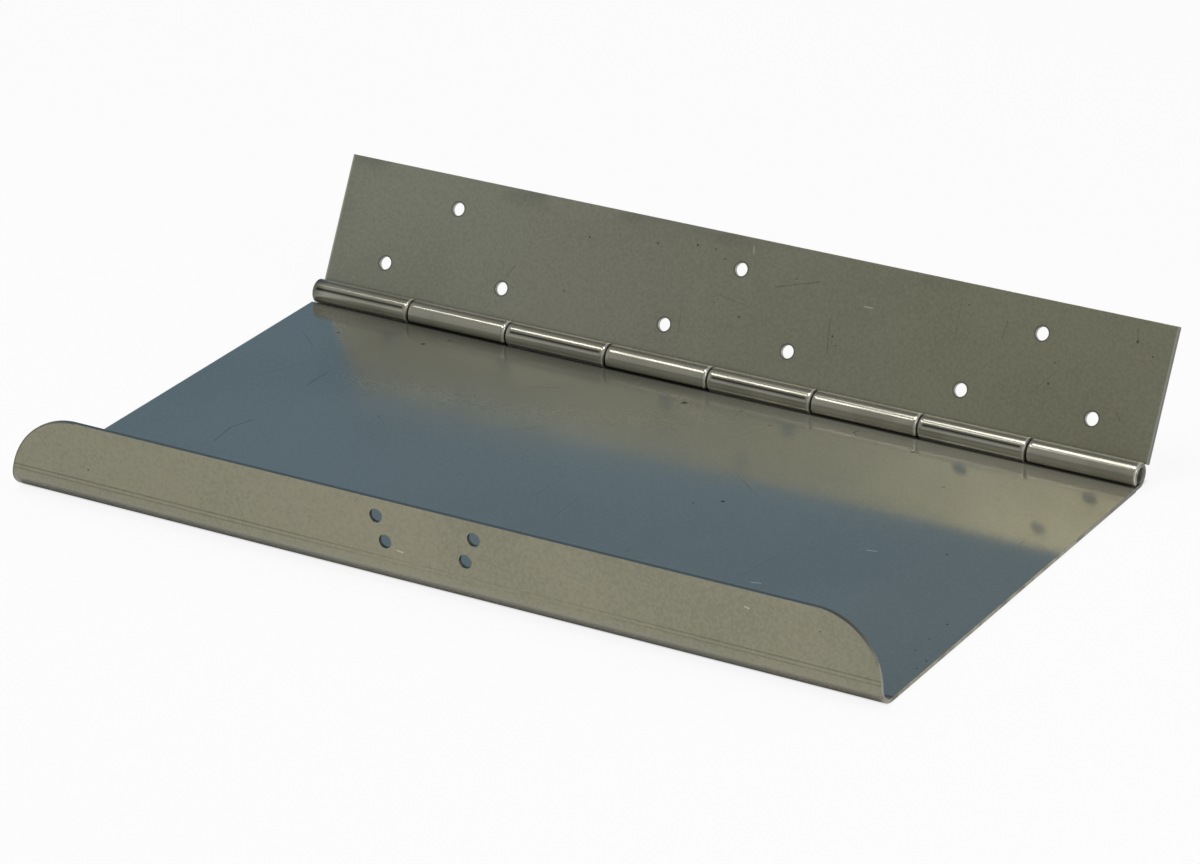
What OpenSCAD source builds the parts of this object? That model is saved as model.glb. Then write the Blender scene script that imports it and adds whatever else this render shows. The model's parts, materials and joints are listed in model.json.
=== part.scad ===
// Trim tab plane for a boat: a sheet plane with an upturned trailing lip, hinged to a transom plate.
// The origin is the middle of the plane's underside. +X runs along the hinge, +Y from the lip to
// the transom and +Z up.

/* [Plane] */
// Width of the plane and of the transom plate along the hinge
plane_w = 450; // [320:5:700]
// Depth of the plane from the lip's outer face to the hinge axis
plane_d = 251; // [150:1:400]
// Thickness of the sheet that both leaves are made from
sheet_t = 2; // [1.2:0.1:3]

/* [Trailing lip] */
// Height of the lip above the plane's underside
lip_h = 41; // [36:0.5:70]
// Outer radius of the bend between plane and lip
lip_bend_r = 10; // [5:0.5:12]
// Radius of the lip's left top corner, limited by the height of the lip
lip_left_r = 37.5; // [5:0.5:60]
// Radius of the lip's right top corner, limited by the height of the lip
lip_right_r = 31; // [5:0.5:60]

/* [Actuator holes in the lip] */
// Diameter of the holes that take the actuator's bracket
ram_hole_d = 6.5; // [4:0.1:8.5]
// Spacing of the upper pair of holes
ram_upper_w = 50.5; // [30:0.5:90]
// Spacing of the lower pair of holes
ram_lower_w = 41.5; // [20:0.5:90]
// Distance of the upper pair from the lip's top edge
ram_edge = 8.5; // [6:0.5:11]
// Distance between the upper and the lower pair
ram_row = 11.5; // [9:0.5:12]

/* [Transom plate] */
// Height of the plate from the hinge axis to its top edge
transom_h = 70; // [55:1:120]
// Lean of the plate back from upright, as it stands at rest
transom_lean = 28; // [0:1:60]
// Diameter of the screw holes
screw_hole_d = 6.5; // [4:0.1:9]
// Number of groups of three screw holes along the plate
screw_groups = 3; // [2:1:5]
// Spacing of the lower pair of holes in a group
screw_pair_w = 67.5; // [20:0.5:80]
// Distance of the outermost holes from the plate's ends
screw_end = 32; // [10:1:60]
// Distance of the upper holes from the plate's top edge
screw_top = 16; // [8:0.5:20]
// Height of the lower holes above the hinge axis
screw_low = 20.5; // [18:0.5:26]

/* [Hinge] */
// Number of knuckles, shared in turn between the two leaves
knuckles = 8; // [4:1:16]
// Gap between neighbouring knuckles
knuckle_gap = 0.8; // [0.3:0.1:2]
// Diameter of the pin
pin_d = 8; // [5:0.5:10]
// Chamfer at the pin's ends
pin_chamfer = 0.6; // [0.2:0.1:1.5]
// Distance of the pin's ends inside the outer two knuckles
pin_recess = 3; // [0:0.5:6]
// Running clearance round the pin
pin_clear = 0.05; // [0.02:0.01:0.1]
// Gap between a knuckle's free edge and its own sheet
seam_gap = 0.9; // [0.2:0.1:1]
// Clearance between a leaf's notches and the other leaf's knuckles
notch_clear = 0.8; // [0.2:0.1:1]

/* [Hidden] */
$fn = 96;

// Extra length of a cutting tool past the surface that it goes through
over = 1;

// A knuckle is the sheet rolled round the pin, so its outside is tangent to the leaf's outer face
bore_r = pin_d / 2 + pin_clear;
barrel_r = bore_r + sheet_t;
curl_deg = 270 + asin((bore_r - seam_gap) / barrel_r);
knuckle_pitch = plane_w / knuckles;
knuckle_len = knuckle_pitch - knuckle_gap;
// A notch ends where the sheet's inner edge just clears the other leaf's knuckle
notch_d = sqrt(pow(barrel_r + notch_clear, 2) - pow(bore_r, 2));

hinge_y = plane_d / 2;
lip_y = -plane_d / 2;
lip_flat_h = lip_h - lip_bend_r;
// A corner's round ends above the sheet of the plane
corner_limit = lip_h - sheet_t;
screw_reach = plane_w / 2 - screw_end - screw_pair_w / 2;
screw_pitch = 2 * screw_reach / (screw_groups - 1);

// Carries what is drawn about the hinge axis to its place
module at_hinge() {
    translate([0, hinge_y, barrel_r])
        children();
}

// Stands a profile drawn in Y and Z up along X
module along_x() {
    rotate([90, 0, 90])
        children();
}

// One knuckle about the hinge axis, curling from the tangent under the pin round to the sheet again
module curl() {
    along_x()
        rotate([0, 0, -90])
            rotate_extrude(angle = curl_deg)
                translate([bore_r, 0])
                    square([sheet_t, knuckle_len]);
}

// The start of a knuckle's place along the hinge, with its share of the gap on each side
function knuckle_x(i) = -plane_w / 2 + i * knuckle_pitch;

// A leaf lying flat towards -Y from the hinge axis, with every second knuckle from the one called first
// and a notch at each knuckle of the other leaf
module hinge_leaf(length, first) {
    difference() {
        translate([-plane_w / 2, -length, -barrel_r])
            cube([plane_w, length, sheet_t]);
        for (i = [1 - first : 2 : knuckles - 1])
            translate([knuckle_x(i) - knuckle_gap / 2, -notch_d, -barrel_r - over])
                cube([knuckle_pitch + knuckle_gap, notch_d + over, sheet_t + 2 * over]);
    }
    for (i = [first : 2 : knuckles - 1])
        translate([knuckle_x(i) + knuckle_gap / 2, 0, 0])
            curl();
}

// The bend and the upright lip along the plane's trailing edge
module lip() {
    translate([-plane_w / 2, lip_y + lip_bend_r, lip_bend_r])
        along_x()
            rotate([0, 0, 180])
                rotate_extrude(angle = 90)
                    translate([lip_bend_r - sheet_t, 0])
                        square([sheet_t, plane_w]);
    translate([-plane_w / 2, lip_y, lip_bend_r])
        cube([plane_w, sheet_t, lip_flat_h]);
}

// What is cut away outside the round of the lip's corner at +X
module corner_cut(wanted_r) {
    corner_r = min(wanted_r, corner_limit);
    translate([plane_w / 2 - corner_r, lip_y - over, lip_h - corner_r])
        difference() {
            cube([corner_r + over, lip_bend_r + over, corner_r + over]);
            translate([0, -over, 0])
                rotate([-90, 0, 0])
                    cylinder(r = corner_r, h = lip_bend_r + 3 * over);
        }
}

// A pair of holes through the lip, drop below its top edge
module lip_holes(spacing, drop) {
    for (side = [-1, 1])
        translate([side * spacing / 2, lip_y - over, lip_h - drop])
            rotate([-90, 0, 0])
                cylinder(d = ram_hole_d, h = sheet_t + 2 * over);
}

// A screw hole through a leaf that lies flat, at a distance from the hinge axis
module screw_hole(x, distance) {
    translate([x, -distance, -barrel_r - over])
        cylinder(d = screw_hole_d, h = sheet_t + 2 * over);
}

// The plane that meets the water, with its lip and its half of the hinge
module trim_plane() {
    color([0.52, 0.53, 0.50])
        difference() {
            union() {
                at_hinge()
                    hinge_leaf(plane_d - lip_bend_r, 1);
                lip();
            }
            corner_cut(lip_right_r);
            mirror([1, 0, 0])
                corner_cut(lip_left_r);
            lip_holes(ram_upper_w, ram_edge);
            lip_holes(ram_lower_w, ram_edge + ram_row);
        }
}

// The plate that is screwed to the transom. Folded shut it is the plane's mirror image over the pin.
module transom_plate() {
    color([0.47, 0.48, 0.43])
        at_hinge()
            rotate([-90 - transom_lean, 0, 0])
                mirror([0, 0, 1])
                    difference() {
                        hinge_leaf(transom_h, 0);
                        for (g = [0 : screw_groups - 1])
                            translate([g * screw_pitch - screw_reach, 0, 0]) {
                                screw_hole(0, transom_h - screw_top);
                                screw_hole(-screw_pair_w / 2, screw_low);
                                screw_hole(screw_pair_w / 2, screw_low);
                            }
                    }
}

// The pin through all the knuckles, ending a little inside the outer two
module hinge_pin() {
    pin_len = plane_w - knuckle_gap - 2 * pin_recess;
    end_r = pin_d / 2 - pin_chamfer;
    color([0.58, 0.58, 0.55])
        at_hinge()
            translate([-pin_len / 2, 0, 0])
                along_x()
                    rotate_extrude()
                        polygon([
                            [0, 0],
                            [end_r, 0],
                            [pin_d / 2, pin_chamfer],
                            [pin_d / 2, pin_len - pin_chamfer],
                            [end_r, pin_len],
                            [0, pin_len]
                        ]);
}

trim_plane();
transom_plate();
hinge_pin();
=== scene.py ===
# %% [markdown]
# # A boat trim tab, made the way a sheet metal shop makes it
# A trim tab is a wide plane, hinged to the foot of a boat's transom. An actuator pushes on the lip along its
# trailing edge, the plane tips down, and the water that it meets lifts the stern.
# The real object is two leaves of stainless sheet on one long pin, so this lesson works like the shop does:
# it cuts a flat pattern, punches the holes, bends and rolls the sheet, and only then gives it a thickness.
# The CAD model is the frame for all of it. Most sizes are read from it, and the rest are named values here.

# %% Load the CAD frame
import json
import math

import bmesh
import bpy
from mathutils import Matrix, Quaternion, Vector


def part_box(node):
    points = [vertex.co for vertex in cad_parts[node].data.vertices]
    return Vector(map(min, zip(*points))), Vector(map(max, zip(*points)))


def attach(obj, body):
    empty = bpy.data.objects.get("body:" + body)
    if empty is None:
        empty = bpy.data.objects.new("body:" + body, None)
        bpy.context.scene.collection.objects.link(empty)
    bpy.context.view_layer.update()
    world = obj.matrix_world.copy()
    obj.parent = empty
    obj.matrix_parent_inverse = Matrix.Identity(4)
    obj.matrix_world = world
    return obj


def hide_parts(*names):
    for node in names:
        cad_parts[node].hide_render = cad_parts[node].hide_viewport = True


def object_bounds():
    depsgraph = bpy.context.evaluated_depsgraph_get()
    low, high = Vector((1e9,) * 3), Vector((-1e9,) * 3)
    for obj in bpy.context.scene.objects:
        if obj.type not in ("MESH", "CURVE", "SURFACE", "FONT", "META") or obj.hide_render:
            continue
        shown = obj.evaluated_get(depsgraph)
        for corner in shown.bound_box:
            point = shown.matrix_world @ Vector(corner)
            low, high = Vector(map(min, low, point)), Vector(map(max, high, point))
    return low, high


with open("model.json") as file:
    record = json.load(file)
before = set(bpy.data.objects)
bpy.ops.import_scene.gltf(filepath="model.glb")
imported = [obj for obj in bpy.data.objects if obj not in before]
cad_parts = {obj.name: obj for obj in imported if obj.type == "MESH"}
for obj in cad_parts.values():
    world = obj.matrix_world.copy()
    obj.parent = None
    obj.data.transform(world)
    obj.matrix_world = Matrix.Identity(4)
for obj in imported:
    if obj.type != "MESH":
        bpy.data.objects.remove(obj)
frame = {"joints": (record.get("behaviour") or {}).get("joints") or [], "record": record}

MM = 0.001

cad_low, cad_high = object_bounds()
print("CAD box in mm:", [round(size / MM) for size in cad_high - cad_low])

# %% [markdown]
# ## The sizes of the hinge
# A knuckle is the leaf's own sheet rolled round the pin, so its outside touches the level of the leaf's outer
# face. The height of the hinge axis is therefore the barrel's radius, and what the pin and its clearance
# leave of that radius is the thickness of the sheet.

# %% Measure the hinge
PIN_CLEARANCE = 0.05 * MM

plane_low, plane_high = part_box("trim_plane")
pin_low, pin_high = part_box("hinge_pin")
mounts = {mount["name"]: mount for mount in frame["record"]["mounts"]}

hinge = Vector(frame["joints"][0]["pos_m"])
leaf_width = plane_high.x - plane_low.x
half_width = leaf_width / 2
barrel_radius = hinge.z - plane_low.z
pin_radius = (pin_high.z - pin_low.z) / 2
bore_radius = pin_radius + PIN_CLEARANCE
sheet_thickness = barrel_radius - bore_radius
print(f"barrel radius {barrel_radius / MM:.2f} mm, sheet {sheet_thickness / MM:.2f} mm thick")

# %% [markdown]
# ## The camera
# The photograph was taken with a long lens, so the far edges of the plane hardly converge. The camera stands
# to the right of the lip, a little over two metres away, and is turned by a degree about its line of sight.

# %% Set up the camera
CAMERA_PLACE = Vector((1.1076, -1.7954, 0.9865))
CAMERA_AIM = Vector((-0.0220, 0.0589, 0))
CAMERA_ROLL = math.radians(-0.98)
SENSOR_WIDTH = 36
FOCAL_LENGTH = 153.1


def add_object(name, data):
    made = bpy.data.objects.new(name, data)
    bpy.context.scene.collection.objects.link(made)
    return made


lens = bpy.data.cameras.new("photo_camera")
lens.sensor_width = SENSOR_WIDTH
lens.lens = FOCAL_LENGTH
camera = add_object("photo_camera", lens)
camera.location = CAMERA_PLACE
line_of_sight = (CAMERA_AIM - CAMERA_PLACE).to_track_quat("-Z", "Y")
camera.rotation_euler = (line_of_sight @ Quaternion((0, 0, 1), CAMERA_ROLL)).to_euler()
bpy.context.scene.camera = camera
print(f"camera {(CAMERA_AIM - CAMERA_PLACE).length:.2f} m from the plane")

# %% [markdown]
# ## Writing node trees as sums
# Shaders and Geometry Nodes are both graphs. Wiring them by hand takes many lines, so one small class wraps
# an output socket and turns arithmetic into Math nodes, and another adds any other node in one call.

# %% A value that does arithmetic in a node tree
def operator(operation):
    return lambda value, other: value.graph.math(operation, value, other)


class Value:
    """An output socket of a node. Arithmetic on it adds Math nodes to its tree."""

    __add__ = __radd__ = operator("ADD")
    __sub__ = operator("SUBTRACT")
    __mul__ = __rmul__ = operator("MULTIPLY")
    __truediv__ = operator("DIVIDE")
    __lt__ = operator("LESS_THAN")
    __gt__ = operator("GREATER_THAN")

    def __init__(self, graph, socket):
        self.graph = graph
        self.socket = socket

    def __rsub__(self, other):
        return self.graph.math("SUBTRACT", other, self)

    def output(self, name):
        return Value(self.graph, self.socket.node.outputs[name])


# %% A graph that takes any node in one call
# The sockets of a Mix node for colours go by number, because those for other data have the same names
MIX_FIRST, MIX_SECOND, MIX_RESULT = 6, 7, 2


class Graph:
    """A node tree that is filled by calls."""

    def __init__(self, tree):
        self.tree = tree

    def node(self, kind, sockets=None, output=0, **settings):
        made = self.tree.nodes.new(kind)
        for name, setting in settings.items():
            setattr(made, name, setting)
        for name, value in (sockets or {}).items():
            for link in value if isinstance(value, list) else [value]:
                if isinstance(link, Value):
                    self.tree.links.new(link.socket, made.inputs[name])
                else:
                    made.inputs[name].default_value = link
        return Value(self, made.outputs[output]) if made.outputs else None

    def math(self, operation, *terms):
        return self.node("ShaderNodeMath", dict(enumerate(terms)), operation=operation)

    def vector(self, operation, first, second, output="Vector"):
        return self.node("ShaderNodeVectorMath", {0: first, 1: second}, output, operation=operation)

    def mix(self, share, first, second):
        colours = {0: share, MIX_FIRST: first, MIX_SECOND: second}
        return self.node("ShaderNodeMix", colours, MIX_RESULT, data_type="RGBA")

    def rise(self, value, low, high, most=1.0):
        """0 up to low, most from high on and smooth between them. Low above high makes it a fall."""
        sockets = {"Value": value, "From Min": low, "From Max": high, "To Max": most}
        return self.node("ShaderNodeMapRange", sockets, interpolation_type="SMOOTHSTEP")

    def split(self, vector):
        parts = self.node("ShaderNodeSeparateXYZ", {0: vector})
        return parts, parts.output("Y"), parts.output("Z")


# %% [markdown]
# ## Satin stainless sheet
# The sheet has a dull, slightly warm mill finish: it mirrors large shapes, such as the other leaf, but few
# small ones. What makes it look real is what happened to it since: faint rolling lines, a cloudy film from
# handling, small pits and a few hairline scratches. All of it comes from noise on the object's own
# coordinates, so nothing slides when a leaf turns.

# %% A metal finish
MIRROR_SHARE = 0.62
SPECK_CORE = 0.5
STROKE_CORE = 0.3


class Finish(Graph):
    """A metal whose shader is fed by calls and expressions."""

    def __init__(self, name, mirror_share=MIRROR_SHARE):
        self.material = bpy.data.materials.new(name)
        self.material.use_nodes = True
        super().__init__(self.material.node_tree)
        self.shader = self.tree.nodes["Principled BSDF"]
        self.shader.inputs["Metallic"].default_value = mirror_share
        self.place = self.node("ShaderNodeTexCoord", output="Object")
        self.sideways, self.behind, self.height = self.split(self.place)
        self.from_end = half_width - self.math("ABSOLUTE", self.sideways)

    def noise(self, scale, detail, stretch=(1, 1, 1), shift=0):
        """Noise on the object's coordinates, which are shifted and then stretched."""
        shifted = self.vector("ADD", self.place, (shift, shift, shift))
        laid = self.vector("MULTIPLY", shifted, stretch)
        return self.node("ShaderNodeTexNoise", {"Vector": laid, "Scale": scale, "Detail": detail})

    def distance(self, place):
        return self.vector("DISTANCE", self.place, place, "Value")

    def specks(self, on_face, spots):
        """1 in soft round spots. On_face turns millimetres on a face into a place."""
        marks = 0.0
        for first, second, millimetres in spots:
            size = millimetres * MM
            marks = self.rise(self.distance(on_face(first, second)), size, SPECK_CORE * size) + marks
        return marks

    def strokes(self, on_face, lines, width, most=1.0):
        """Most along soft straight lines, each given by its two ends on a face."""
        marks = 0.0
        for first, second, first_end, second_end in lines:
            start = on_face(first, second)
            run = on_face(first_end, second_end) - start
            offset = self.vector("SUBTRACT", self.place, start)
            along = self.vector("DOT_PRODUCT", offset, run, "Value")
            share = self.node("ShaderNodeMapRange", {"Value": along, "From Max": run.length_squared})
            nearest = self.node("ShaderNodeVectorMath", {0: run, "Scale": share}, operation="SCALE")
            beside = self.vector("DISTANCE", offset, nearest, "Value")
            marks = self.rise(beside, width, STROKE_CORE * width, most) + marks
        return marks

    def done(self, colour, roughness, relief):
        """The material with its colour, its roughness and the height of its surface."""
        bump = self.node("ShaderNodeBump", {"Height": relief, "Distance": 1.0})
        for name, value in {"Base Color": colour, "Roughness": roughness, "Normal": bump}.items():
            self.tree.links.new(value.socket, self.shader.inputs[name])
        return self.material


# %% Marks that handling leaves on sheet
SCRATCH_WIDTH = 0.3 * MM
SLOPE_SHARE = 0.7
HAIRLINE_END = 0.4
HAIRLINE_FULL = 0.1
PIT_EDGES = (0.06, 0.03)


def hairlines(finish, scale, share):
    """Sparse scratches: a line through some cells of a Voronoi pattern, each at its own angle."""
    cells = finish.node("ShaderNodeTexVoronoi", {"Vector": finish.place, "Scale": scale}, "Position")
    chance = finish.node("ShaderNodeSeparateColor", {0: cells.output("Color")})
    turn = chance * (2 * math.pi)
    sine = finish.math("SINE", turn)
    cosine = finish.math("COSINE", turn)
    x, y, z = finish.split(finish.vector("SUBTRACT", finish.place, cells))
    slope = (y + z) * SLOPE_SHARE
    across = finish.math("ABSOLUTE", slope * cosine - x * sine)
    along = finish.math("ABSOLUTE", slope * sine + x * cosine)
    line = finish.rise(across, SCRATCH_WIDTH, STROKE_CORE * SCRATCH_WIDTH)
    part = finish.rise(along, HAIRLINE_END / scale, HAIRLINE_FULL / scale)
    return line * part * (chance.output("Green") < share)


def pits(finish, scale, share):
    """Small round pits: the middle of a few cells of a Voronoi pattern."""
    cells = finish.node("ShaderNodeTexVoronoi", {"Vector": finish.place, "Scale": scale}, "Distance")
    chosen = finish.node("ShaderNodeSeparateColor", {0: cells.output("Color")}) < share
    return finish.rise(cells, *PIT_EDGES) * chosen


# %% The satin finish
# Dark marks take this colour, and so does the painted shade in creases, along the hinge and under knuckles
DIRT_AND_SHADE = (0.06, 0.06, 0.05, 1)
# Bright nicks take this colour, and so do the painted highlights on the knuckles and the plate's ends
BARE_METAL_AND_HIGHLIGHT = (0.62, 0.61, 0.55, 1)
# A noise has its scale, its detail, its stretch and its shift
GRAIN = (640, 3.0)
FILM = (11, 3.0)
ROLLING = (700, 2.0, (0.03, 1, 1))
WAVES = (9, 1.0, (1, 1, 1), 7)
FILM_EDGES = (0.40, 0.68)
# Scattered marks have the scale of their cells and the share of the cells that show one
HAIRLINES = (28, 0.16)
PITS = (90, 0.04)
HAIRLINE_DARKNESS = 0.3
PIT_DARKNESS = 0.7
GRAIN_HEIGHT = 0.0016 * MM
ROLLING_HEIGHT = 0.0012 * MM
WAVE_HEIGHT = 0.10 * MM
MARK_DEPTH = 0.02 * MM
FILM_SHADE = 0.6
GRAIN_SHADE = 3.0
SHADE_OFFSET = 1.3
SHEET_DULLNESS = 0.05
MARK_DULLNESS = 0.2


class Satin(Finish):
    """The mill's satin finish, with a fine grain all over and a film in patches."""

    def __init__(self, name):
        super().__init__(name)
        self.grain = self.noise(*GRAIN)
        self.film = self.rise(self.noise(*FILM), *FILM_EDGES)

    def shade(self, clean, filmed):
        """The colour before any marks: clean and filmed patches with a fine mottle."""
        return self.mix(self.film * FILM_SHADE + self.grain * GRAIN_SHADE - SHADE_OFFSET, clean, filmed)

    def sheet(self, shade, roughness, stains_and_shade, nicks):
        """The material. Roughness is that of clean metal, stains are dark marks and painted shade,
        and nicks are bright marks and painted highlights.
        """
        scattered = hairlines(self, *HAIRLINES) * HAIRLINE_DARKNESS + pits(self, *PITS) * PIT_DARKNESS
        marks = scattered + stains_and_shade
        colour = self.mix(nicks, self.mix(marks, shade, DIRT_AND_SHADE), BARE_METAL_AND_HIGHLIGHT)
        dullness = (self.film + self.grain) * SHEET_DULLNESS + marks * MARK_DULLNESS
        swell = self.noise(*WAVES) * WAVE_HEIGHT + self.noise(*ROLLING) * ROLLING_HEIGHT
        relief = swell + self.grain * GRAIN_HEIGHT - marks * MARK_DEPTH
        return self.done(colour, dullness + roughness, relief)


# %% [markdown]
# ## The marks on each sheet
# Noise alone looks even all over, so the larger marks of a used sheet are listed one by one: specks, short
# scratches and nicks, in millimetres on the face that they lie on. Many are where the photograph shows such a
# mark. Each is a small ball or a thin rod round its place, so it reaches a little way into the metal.

# %% Places on the plane and on the lip
lip_face = plane_low.y
lip_height = plane_high.z - plane_low.z
LIP_CORNERS = {-1: 37.5 * MM, 1: 31 * MM}
plane_top = plane_low.z + sheet_thickness


def on_plane(x, y):
    return Vector((x * MM, y * MM, plane_top))


def on_lip(x, z):
    return Vector((x * MM, lip_face, z * MM))


PLANE_SPECKS = (
    (-2, 103, 1.7), (68, 17, 1.4), (46, 100, 0.9), (57, 9, 0.7), (-192, 94, 0.9), (-148, 102, 1.4),
    (-139, 112, 0.8), (118, 106, 1.1), (148, 79, 0.8), (182, 17, 0.8), (-60, -70, 0.6), (-120, 20, 0.5),
    (213, -72, 0.6), (213.4, -60, 0.5), (213.8, -44, 0.7), (221.6, -87, 0.6), (221.8, -79, 0.7),
    (222, -68, 0.5),
)
PLANE_SCRATCHES = (
    (-172, -40, -174, -25), (-174, -25, -170, -12), (-170, 34, -170, 52), (85, 115, 84, 112),
    (84, 112, 87, 109),
)
PLANE_NICKS = ((149, 4, 153, 5), (120, -49, 124, -48))
LIP_SPECKS = ((-181, 19.5, 0.6), (196, 30, 0.5), (-60, 24, 0.4))
LIP_NICKS = ((-14.5, 18.2, -11.5, 17.8), (160, 33, 162, 32.5))
print(len(PLANE_SPECKS), "specks and", len(PLANE_SCRATCHES), "scratches on the plane")

# %% [markdown]
# ## The plane's finish
# The press brake left two lines on the lip, worn in their middle, and the bend's foot has painted shade.
# Towards the hinge the sheet is duller with painted shade at the left and has painted light at the right,
# and the right of the plane is warmer and glossier. A painted shadow runs along the hinge, and the lip's
# left corner has painted shade along its edge. Each such place is given by where it starts, where it is
# full and, for some, its strength there.

# %% What work and use left on the plane, and its painted light and shade
BRAKE_LINES = ((11.6 * MM, 0.30), (13.6 * MM, 0.42))
BRAKE_LINE_WIDTH = 0.55 * MM
BRAKE_LINE_CORE = 0.15 * MM
WORN_MIDDLE = 35 * MM
WORN_REST = 0.3
UNWORN = (15 * MM, 130 * MM, 1 - WORN_REST)
LIP_BLEND = (4 * MM, 11 * MM)
# Painted shade on the lip's foot, where the bend turns under towards the floor
LIP_FOOT_SHADE = (3.8 * MM, 1.8 * MM, 0.75)
# A duller patch of painted shade near the hinge at the left, where the sheet mirrors the plate
SHADE_PATCH_RIGHT = (100 * MM, -60 * MM)
SHADE_PATCH_LEFT = (-200 * MM, -165 * MM)
SHADE_PATCH_DEPTH = (20 * MM, 90 * MM, 0.25)
# The lip is darker and duller towards its left end
DULL_LIP = (0, -200 * MM, 0.10)
# A painted shadow along the line where the knuckles meet the sheet
SEAM_SHADE = (hinge.y - 6.8 * MM, hinge.y - 6.0 * MM, 0.8)
# Painted shade in a thin band along the edge of the lip's left corner
RIM_START = 0.9 * MM
RIM_FULL = 0.3 * MM
RIM_SHADE = 0.6

bend_end = lip_face + LIP_BLEND[1]


def brake_marks(finish):
    """The lines above the bend on the lip's outside, and painted shade on the foot under it."""
    from_worn = finish.math("ABSOLUTE", finish.sideways - WORN_MIDDLE)
    unworn = finish.rise(from_worn, *UNWORN) + WORN_REST
    outside = finish.behind < lip_face + sheet_thickness / 2
    lines = 0.0
    for line_height, strength in BRAKE_LINES:
        offset = finish.math("ABSOLUTE", finish.height - line_height)
        lines = finish.rise(offset, BRAKE_LINE_WIDTH, BRAKE_LINE_CORE, strength) + lines
    return lines * outside * unworn + finish.rise(finish.height, *LIP_FOOT_SHADE) * (finish.behind < bend_end)


def shade_and_dull_marks(finish):
    """A duller patch of painted shade near the hinge, a darker, duller left of the lip and a painted hinge
    shadow.
    """
    breadth = finish.rise(finish.sideways, *SHADE_PATCH_RIGHT) * finish.rise(finish.sideways, *SHADE_PATCH_LEFT)
    lip = finish.rise(finish.behind, bend_end, lip_face) * finish.rise(finish.sideways, *DULL_LIP)
    return finish.rise(finish.behind, *SHADE_PATCH_DEPTH) * breadth + lip + finish.rise(finish.behind, *SEAM_SHADE)


def corner_edge_shade(finish):
    """Painted shade along the edge of the lip's left corner."""
    radius = LIP_CORNERS[-1]
    inward = finish.sideways + (half_width - radius)
    upward = finish.height - (lip_height - radius)
    from_middle = finish.math("SQRT", inward * inward + upward * upward)
    rim = finish.rise(from_middle, radius - RIM_START, radius - RIM_FULL, RIM_SHADE)
    return rim * (inward < 0) * (upward > 0)


# %% The plane's finish
FLAT_COOL = ((0.286, 0.282, 0.229, 1), (0.252, 0.251, 0.206, 1))
FLAT_WARM = ((0.286, 0.268, 0.204, 1), (0.252, 0.238, 0.184, 1))
LIP_SHADES = ((0.284, 0.271, 0.189, 1), (0.232, 0.227, 0.163, 1))
WARMTH = (120 * MM, 210 * MM)
# Painted light: the sheet is lightened near the hinge at the right, where it mirrors the knuckles
HINGE_LIGHT_COLOUR = (0.62, 0.605, 0.49, 1)
HINGE_LIGHT_DEPTH = (hinge.y - 21 * MM, hinge.y - 11 * MM)
HINGE_LIGHT_RIGHT = (-120 * MM, 120 * MM, 0.45)
PLANE_ROUGHNESS = 0.12
GLOSS_RIGHT = (-40 * MM, 160 * MM, 0.055)
GLOSS_DEPTH = (hinge.y - 17 * MM, hinge.y - 30 * MM)
SCRATCHES = (0.5 * MM, 0.5)
NICK_WIDTH = 0.45 * MM
FAINT_NICKS = (NICK_WIDTH, 0.6)


def plane_shade(finish):
    warmth = finish.rise(finish.sideways, *WARMTH)
    flat = finish.mix(warmth, finish.shade(*FLAT_COOL), finish.shade(*FLAT_WARM))
    bent = finish.mix(finish.rise(finish.height, *LIP_BLEND), flat, finish.shade(*LIP_SHADES))
    # Painted light near the hinge
    hinge_light = finish.rise(finish.behind, *HINGE_LIGHT_DEPTH) * finish.rise(finish.sideways, *HINGE_LIGHT_RIGHT)
    return finish.mix(hinge_light, bent, HINGE_LIGHT_COLOUR)


def plane_finish():
    finish = Satin("plane_satin")
    spots = finish.specks(on_plane, PLANE_SPECKS) + finish.specks(on_lip, LIP_SPECKS)
    spots = finish.strokes(on_plane, PLANE_SCRATCHES, *SCRATCHES) + spots
    # The stains hold specks and marks, and painted shade on the lip's foot, near the hinge and at the corner
    stains_and_shade = spots + brake_marks(finish) + shade_and_dull_marks(finish) + corner_edge_shade(finish)
    lip_nicks = finish.strokes(on_lip, LIP_NICKS, *FAINT_NICKS)
    nicks = finish.strokes(on_plane, PLANE_NICKS, NICK_WIDTH) + lip_nicks
    gloss = finish.rise(finish.sideways, *GLOSS_RIGHT) * finish.rise(finish.behind, *GLOSS_DEPTH)
    return finish.sheet(plane_shade(finish), PLANE_ROUGHNESS - gloss, stains_and_shade, nicks)


plane_satin = plane_finish()
print("plane:", len(plane_satin.node_tree.nodes), "nodes")

# %% [markdown]
# ## The transom plate's finish
# The plate is duller than the plane and a little darker to the right. Grime lies along its top edge, painted
# shade lies in the crevice above the hinge and in a ring round each hole, and the plate's two ends have a
# painted highlight.

# %% Places on the transom plate
HOLE_DIGITS = 6

back = Vector(mounts["transom_back"]["axis"])
lean = math.atan2(-back.z, back.y)
up_plate = Vector((0, math.sin(lean), math.cos(lean)))


def on_transom(x, rise):
    """A point of the plate's front face, at a distance up the plate from the hinge axis."""
    return hinge + Vector((x * MM, 0, 0)) + up_plate * rise * MM + back * bore_radius


# A hole that two mounts share is kept once
holes_by_x = {}
for title, mount in mounts.items():
    if title.startswith("screws"):
        distance = (Vector(mount["pos_m"]) - hinge).dot(up_plate)
        reach = mount["dims"]["pcd_mm"] * MM / 2
        screw_radius = mount["dims"]["hole_r_mm"] * MM
        for side in (-1, 1):
            x = round(mount["pos_m"][0] + side * reach, HOLE_DIGITS)
            holes_by_x[x] = (x, -distance)
screw_holes = list(holes_by_x.values())

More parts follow.
